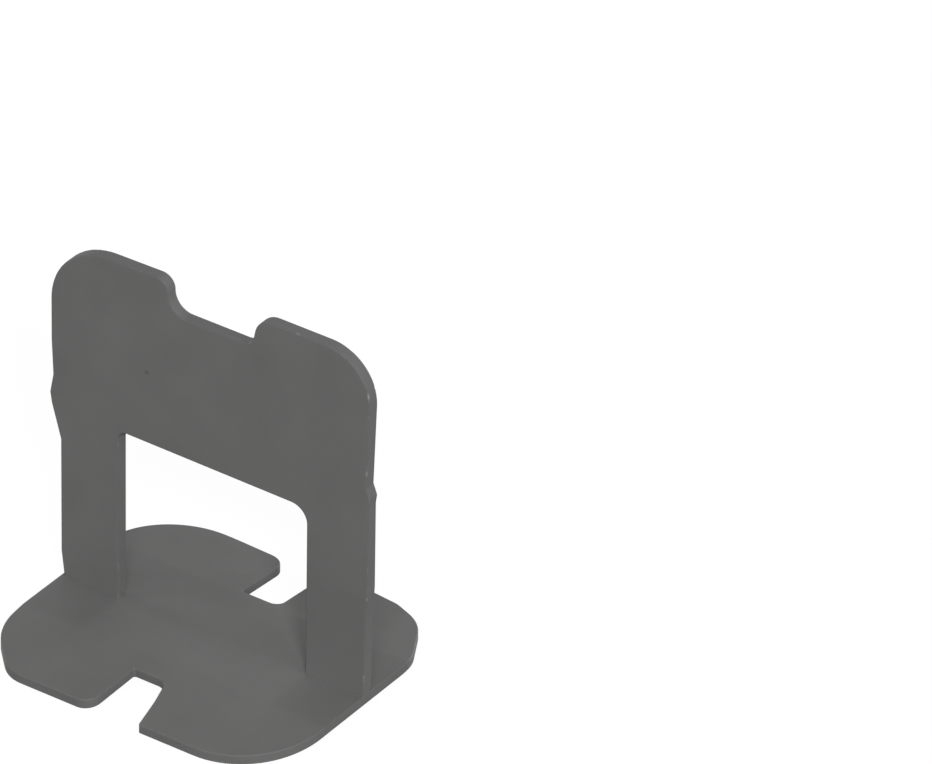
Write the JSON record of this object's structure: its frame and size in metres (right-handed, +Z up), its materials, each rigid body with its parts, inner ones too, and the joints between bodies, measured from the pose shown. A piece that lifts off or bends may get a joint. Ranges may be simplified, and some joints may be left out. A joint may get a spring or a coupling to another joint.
{
  "type": "tile levelling clip",
  "caption": "Moulded plastic clip: a thin plate with a window for a wedge stands on a thin notched base that goes under tiles and snaps off once they are set.",
  "frame": {"origin": "on the floor, under the middle of the clip's full width and full depth", "axes": "+X along the upright plate, +Y across it towards the back edge of the base, +Z up"},
  "size_m": [0.043, 0.0362, 0.0465],
  "materials": {
    "grey_plastic": "fine satin moulded surface"
  },
  "bodies": {
    "root": {"clip": "grey_plastic"}
  },
  "joints": []
}
